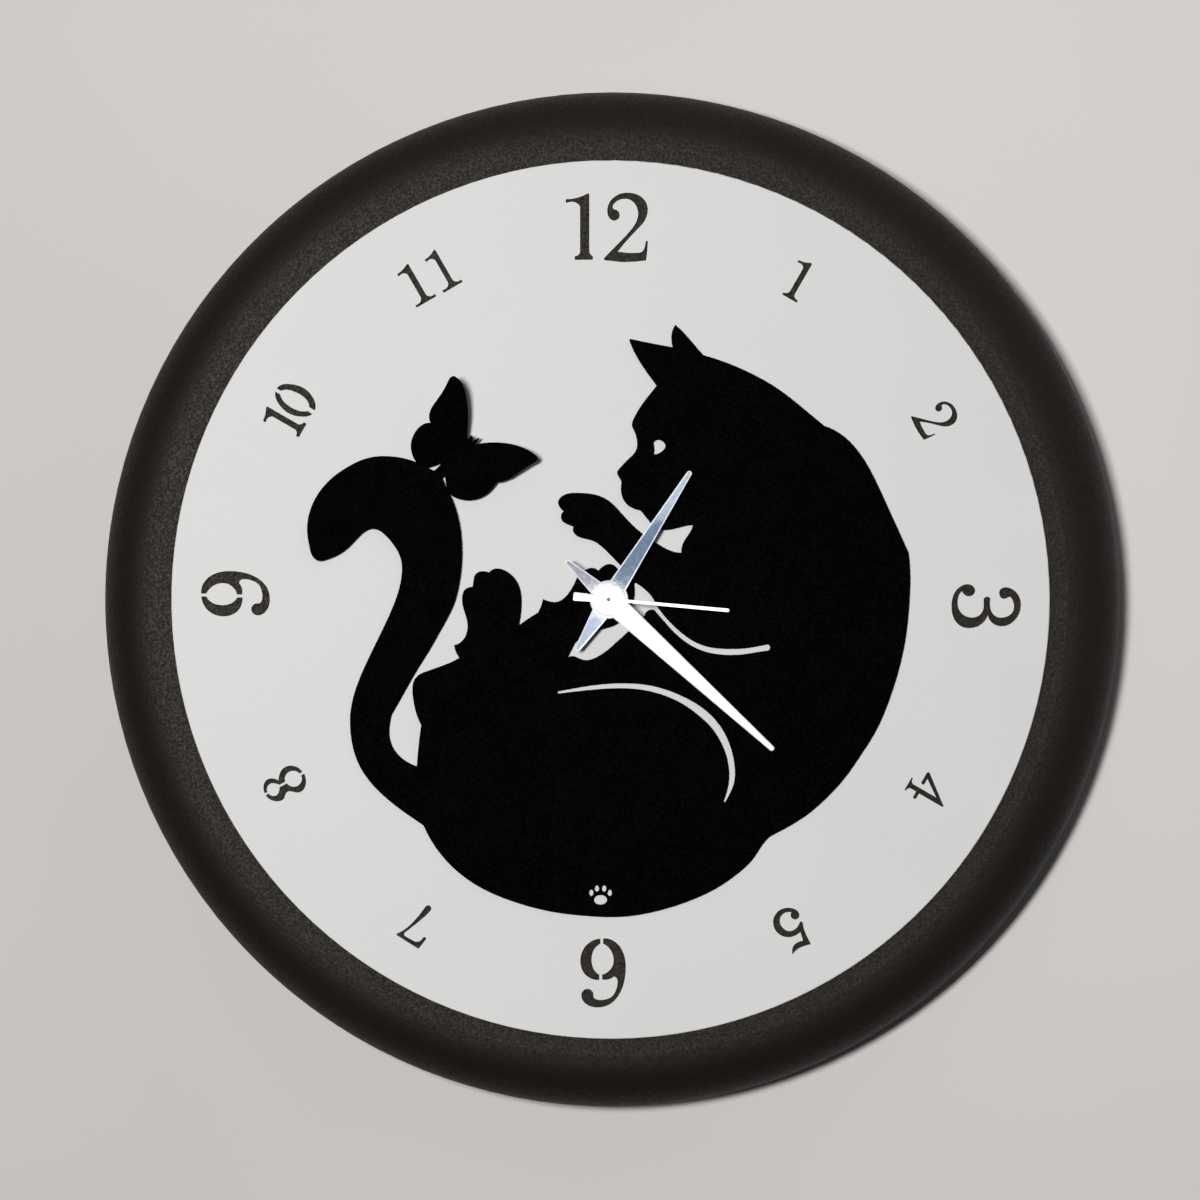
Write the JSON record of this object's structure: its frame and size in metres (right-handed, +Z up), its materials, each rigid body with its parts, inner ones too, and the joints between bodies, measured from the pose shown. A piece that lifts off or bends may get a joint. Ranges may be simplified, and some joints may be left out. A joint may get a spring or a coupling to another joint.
{
  "type": "quartz wall clock",
  "caption": "Round metal wall clock with stencil-cut numerals, a black cat silhouette whose bent tail carries a butterfly, three hands and a quartz movement.",
  "frame": {"origin": "on the axis of the hands, in the plane of the wall that the rear rim lies on", "axes": "+Z up, +X to the right for someone facing the clock, +Y into the wall; the face looks along -Y"},
  "size_m": [0.4, 0.0483, 0.4],
  "materials": {
    "powder_coat_brown": "satin textured powder coat",
    "enamel_pearl": "satin enamel",
    "enamel_black": "fine matte enamel",
    "polished_aluminium": "polished",
    "brass": "turned",
    "zinc_steel": "zinc plated",
    "steel": "turned",
    "soft_iron": "stamped",
    "black_plastic": "moulded, lightly textured",
    "white_plastic": "moulded acetal",
    "rubber": "matte",
    "copper_wire": "enamelled winding",
    "magnet": "sintered",
    "board": "laminate",
    "resin": "cast drop",
    "nickel": "nickel plated",
    "cell_sleeve": "printed film, no lettering"
  },
  "bodies": {
    "clock_frame": {"frame_shell": "powder_coat_brown", "dial_plate": "enamel_pearl", "cat_plate": "enamel_black", "dial_studs": "zinc_steel", "cat_studs": "zinc_steel", "stud_washers": "zinc_steel", "stud_nuts": "zinc_steel", "hanger_bracket": "zinc_steel", "bracket_rivets": "steel", "movement_case": "black_plastic", "movement_cover": "black_plastic", "bearing_bridge": "white_plastic", "stator": "soft_iron", "coil_core": "soft_iron", "coil_bobbin": "white_plastic", "coil_winding": "copper_wire", "circuit_board": "board", "quartz_crystal": "nickel", "clock_chip": "resin", "contact_positive": "nickel", "contact_negative": "nickel", "rubber_gasket": "rubber", "neck_washer": "brass", "neck_nut": "brass"},
    "battery": {"battery_can": "steel", "battery_cap": "nickel", "battery_sleeve": "cell_sleeve"},
    "hour_work": {"hour_wheel": "white_plastic", "hour_hand": "polished_aluminium", "hour_hand_collet": "brass"},
    "minute_work": {"cannon_pinion": "brass", "minute_hand": "polished_aluminium", "minute_hand_collet": "brass"},
    "second_work": {"second_wheel": "white_plastic", "second_arbor": "steel", "second_hand": "polished_aluminium", "second_hand_tube": "polished_aluminium"},
    "minute_wheel": {"minute_wheel": "white_plastic"},
    "centre_wheel": {"centre_wheel": "white_plastic"},
    "third_wheel": {"third_wheel": "white_plastic"},
    "idler_wheel": {"idler_wheel": "white_plastic"},
    "rotor": {"rotor_pinion": "white_plastic", "rotor_magnet": "magnet"},
    "setting_knob": {"setting_knob": "white_plastic"}
  },
  "joints": [
    {"name": "second_hand_spin", "type": "hinge", "parent": "clock_frame", "child": "second_work", "pos_m": [0, 0, 0], "axis": [0, 1, 0], "continuous": true},
    {"name": "minute_hand_spin", "type": "hinge", "parent": "clock_frame", "child": "minute_work", "pos_m": [0, 0, 0], "axis": [0, 1, 0], "continuous": true},
    {"name": "hour_hand_spin", "type": "hinge", "parent": "clock_frame", "child": "hour_work", "pos_m": [0, 0, 0], "axis": [0, 1, 0], "continuous": true},
    {"name": "minute_wheel_spin", "type": "hinge", "parent": "clock_frame", "child": "minute_wheel", "pos_m": [-0.00705, 0, -0.00257], "axis": [0, 1, 0], "continuous": true},
    {"name": "setting_knob_spin", "type": "hinge", "parent": "clock_frame", "child": "setting_knob", "pos_m": [-0.01439, 0, -0.00524], "axis": [0, 1, 0], "continuous": true},
    {"name": "centre_wheel_spin", "type": "hinge", "parent": "clock_frame", "child": "centre_wheel", "pos_m": [0, 0, 0], "axis": [0, 1, 0], "continuous": true},
    {"name": "third_wheel_spin", "type": "hinge", "parent": "clock_frame", "child": "third_wheel", "pos_m": [0.00736, 0, 0.00425], "axis": [0, 1, 0], "continuous": true},
    {"name": "idler_wheel_spin", "type": "hinge", "parent": "clock_frame", "child": "idler_wheel", "pos_m": [-0.00686, 0, 0.00396], "axis": [0, 1, 0], "continuous": true},
    {"name": "rotor_spin", "type": "hinge", "parent": "clock_frame", "child": "rotor", "pos_m": [-0.00807, 0, 0.01085], "axis": [0, 1, 0], "continuous": true},
    {"name": "battery_out", "type": "slide", "parent": "clock_frame", "child": "battery", "axis": [0, 1, 0], "range_m": [0, 0.018]}
  ],
  "couplings": [
    {"joint": "idler_wheel_spin", "follows": "second_hand_spin", "ratio": -5},
    {"joint": "rotor_spin", "follows": "second_hand_spin", "ratio": 30},
    {"joint": "third_wheel_spin", "follows": "second_hand_spin", "ratio": -0.13333},
    {"joint": "centre_wheel_spin", "follows": "second_hand_spin", "ratio": 0.016667},
    {"joint": "minute_wheel_spin", "follows": "minute_hand_spin", "ratio": -0.33333},
    {"joint": "hour_hand_spin", "follows": "minute_hand_spin", "ratio": 0.083333},
    {"joint": "setting_knob_spin", "follows": "minute_hand_spin", "ratio": 0.85714}
  ]
}
